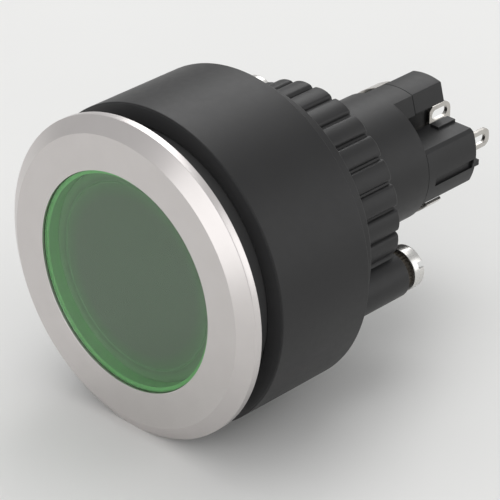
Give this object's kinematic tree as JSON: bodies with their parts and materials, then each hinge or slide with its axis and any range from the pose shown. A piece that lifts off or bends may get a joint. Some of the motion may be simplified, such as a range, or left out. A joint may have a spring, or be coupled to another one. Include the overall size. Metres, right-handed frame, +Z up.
{
  "type": "illuminated pushbutton switch",
  "caption": "Panel pushbutton with a wide chamfered aluminium front ring, green window, clamp drum, knurled mounting ring and rear solder tabs.",
  "frame": {"origin": "centre of the panel cut-out, in the plane where the front ring seats on the panel", "axes": "+Y from the panel to the rear terminals, front faces -Y; +Z up; +X to the right seen from the front"},
  "size_m": [0.04, 0.0576, 0.04],
  "materials": {
    "bezel_aluminium": "satin turned and blasted",
    "black_housing": "satin moulded black",
    "dark_housing": "satin moulded dark grey",
    "seal_rubber": "matt",
    "lens_green": "clear polished green plastic",
    "diffuser_white": "matt translucent",
    "holder_white": "matt white",
    "steel": "zinc plated",
    "spring_steel": "drawn wire",
    "brass": "knurled",
    "tab_silver": "silver plated",
    "lamp_white": "frosted bulb"
  },
  "bodies": {
    "base": {"front_bezel": "bezel_aluminium", "panel_seal": "seal_rubber", "actuator_body": "black_housing", "stem_seal": "seal_rubber", "clamp_sleeve": "black_housing", "thrust_washer": "steel", "mounting_ring": "dark_housing", "thread_insert_1": "brass", "thread_insert_2": "brass", "clamp_screw_1": "steel", "clamp_screw_2": "steel", "return_spring": "spring_steel", "switch_carrier": "dark_housing", "terminal_block": "dark_housing", "carrier_clip_1": "tab_silver", "carrier_clip_2": "tab_silver", "lamp_socket": "dark_housing", "led_lamp": "lamp_white", "lamp_terminal_1": "tab_silver", "lamp_terminal_2": "tab_silver", "switch_element_right": "dark_housing", "outer_terminal_right": "tab_silver", "inner_terminal_right": "tab_silver", "contact_spring_right": "spring_steel", "switch_element_left": "dark_housing", "outer_terminal_left": "tab_silver", "inner_terminal_left": "tab_silver", "contact_spring_left": "spring_steel"},
    "button": {"lens_cap": "lens_green", "diffuser": "diffuser_white", "button_holder": "holder_white", "stem_circlip": "spring_steel"},
    "plunger_right": {"plunger_right": "holder_white", "contact_bridge_right": "tab_silver"},
    "plunger_left": {"plunger_left": "holder_white", "contact_bridge_left": "tab_silver"}
  },
  "joints": [
    {"name": "button_press", "type": "slide", "parent": "base", "child": "button", "axis": [0, 1, 0], "range_m": [0, 0.003], "stiffness_N_per_m": 500, "springref_m": -0.008, "deforming": ["return_spring"]},
    {"name": "plunger_right_slide", "type": "slide", "parent": "base", "child": "plunger_right", "axis": [0, 1, 0], "range_m": [0, 0.0027], "deforming": ["contact_spring_right"]},
    {"name": "plunger_left_slide", "type": "slide", "parent": "base", "child": "plunger_left", "axis": [0, 1, 0], "range_m": [0, 0.0027], "deforming": ["contact_spring_left"]}
  ],
  "couplings": [
    {"joint": "plunger_right_slide", "follows": "button_press", "ratio": 0.9},
    {"joint": "plunger_left_slide", "follows": "button_press", "ratio": 0.9}
  ]
}
